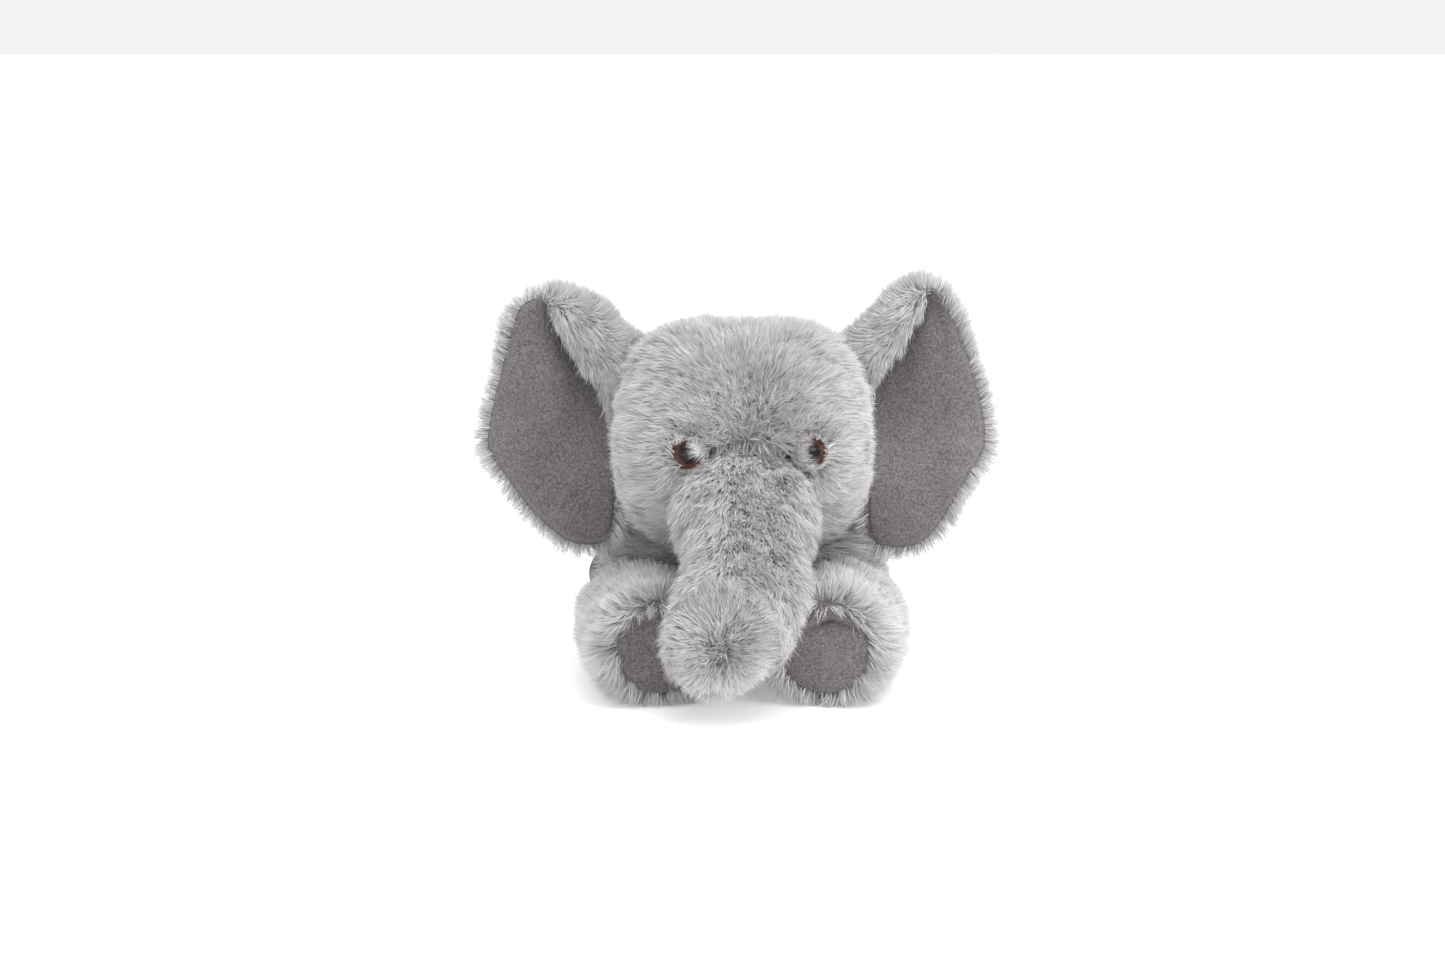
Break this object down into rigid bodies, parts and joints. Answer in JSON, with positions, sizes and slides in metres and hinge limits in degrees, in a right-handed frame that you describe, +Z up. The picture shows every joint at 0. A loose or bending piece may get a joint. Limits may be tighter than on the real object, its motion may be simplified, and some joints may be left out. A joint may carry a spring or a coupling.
{
  "type": "stuffed elephant",
  "caption": "Plush elephant lying on its belly, with wide suede-lined ears, a thick hanging trunk, stretched legs with suede soles, and moulded eyes.",
  "frame": {"origin": "on the resting plane, on the flat of the belly and about the middle of the toy's footprint", "axes": "+Z up; the elephant looks along -Y; +X is the right of someone who faces it"},
  "size_m": [0.2344, 0.2497, 0.1775],
  "materials": {
    "fur": "long-pile plush fur, light grey",
    "suede": "short-napped suede cloth, warm dark grey",
    "stuffing": "loose polyester fibre",
    "pouch_cloth": "plain woven lining cloth",
    "pellets": "loose pellets",
    "label_ribbon": "woven ribbon",
    "eye_clear": "clear, polished",
    "eye_dark": "polished black pupil with a red-brown iris",
    "eye_washer": "moulded"
  },
  "bodies": {
    "torso": {"body_belly": "fur", "body_back_left": "fur", "body_back_right": "fur", "body_stuffing": "stuffing", "pellet_pouch": "pouch_cloth", "pellet_fill": "pellets", "label": "label_ribbon"},
    "head": {"head_gusset": "fur", "head_side_left": "fur", "head_side_right": "fur", "head_stuffing": "stuffing", "eye_left_lens": "eye_clear", "eye_left_backing": "eye_dark", "eye_left_washer": "eye_washer", "eye_right_lens": "eye_clear", "eye_right_backing": "eye_dark", "eye_right_washer": "eye_washer"},
    "trunk": {"trunk_sleeve": "fur", "trunk_tip": "fur", "trunk_stuffing": "stuffing"},
    "ear_left": {"ear_left_back": "fur", "ear_left_lining": "suede"},
    "ear_right": {"ear_right_back": "fur", "ear_right_lining": "suede"},
    "tail": {"tail_cord": "suede", "tail_tuft": "fur"},
    "front_leg_left": {"front_leg_left_sleeve": "fur", "front_leg_left_sole": "suede", "front_leg_left_stuffing": "stuffing"},
    "front_leg_right": {"front_leg_right_sleeve": "fur", "front_leg_right_sole": "suede", "front_leg_right_stuffing": "stuffing"},
    "hind_leg_left": {"hind_leg_left_sleeve": "fur", "hind_leg_left_sole": "suede", "hind_leg_left_stuffing": "stuffing"},
    "hind_leg_right": {"hind_leg_right_sleeve": "fur", "hind_leg_right_sole": "suede", "hind_leg_right_stuffing": "stuffing"}
  },
  "joints": [
    {"name": "head_lift", "type": "hinge", "parent": "torso", "child": "head", "pos_m": [0, -0.008, 0.1105], "axis": [-1, 0, 0], "range_deg": [0, 15], "stiffness_Nm_per_rad": 0.08},
    {"name": "trunk_lift", "type": "hinge", "parent": "head", "child": "trunk", "pos_m": [0.001, -0.054, 0.086], "axis": [-1, 0, 0], "range_deg": [0, 40], "stiffness_Nm_per_rad": 0.03},
    {"name": "ear_left_flap", "type": "hinge", "parent": "head", "child": "ear_left", "pos_m": [-0.057, 0, 0.11], "axis": [0, 0, 1], "range_deg": [-20, 40], "stiffness_Nm_per_rad": 0.012},
    {"name": "ear_right_flap", "type": "hinge", "parent": "head", "child": "ear_right", "pos_m": [0.057, 0, 0.11], "axis": [0, 0, -1], "range_deg": [-20, 40], "stiffness_Nm_per_rad": 0.012},
    {"name": "front_leg_left_spread", "type": "hinge", "parent": "torso", "child": "front_leg_left", "pos_m": [-0.0445, -0.009, 0.026], "axis": [0, 0, -1], "range_deg": [0, 25], "stiffness_Nm_per_rad": 0.04},
    {"name": "front_leg_right_spread", "type": "hinge", "parent": "torso", "child": "front_leg_right", "pos_m": [0.0445, -0.009, 0.026], "axis": [0, 0, 1], "range_deg": [0, 25], "stiffness_Nm_per_rad": 0.04},
    {"name": "hind_leg_left_spread", "type": "hinge", "parent": "torso", "child": "hind_leg_left", "pos_m": [-0.043, 0.057, 0.021], "axis": [0, 0, 1], "range_deg": [-3, 25], "stiffness_Nm_per_rad": 0.04},
    {"name": "hind_leg_right_spread", "type": "hinge", "parent": "torso", "child": "hind_leg_right", "pos_m": [0.043, 0.057, 0.021], "axis": [0, 0, -1], "range_deg": [-3, 25], "stiffness_Nm_per_rad": 0.04},
    {"name": "tail_swing", "type": "hinge", "parent": "torso", "child": "tail", "pos_m": [0, 0.08736, 0.058], "axis": [0, 0, 1], "range_deg": [-20, 20], "stiffness_Nm_per_rad": 0.003}
  ]
}
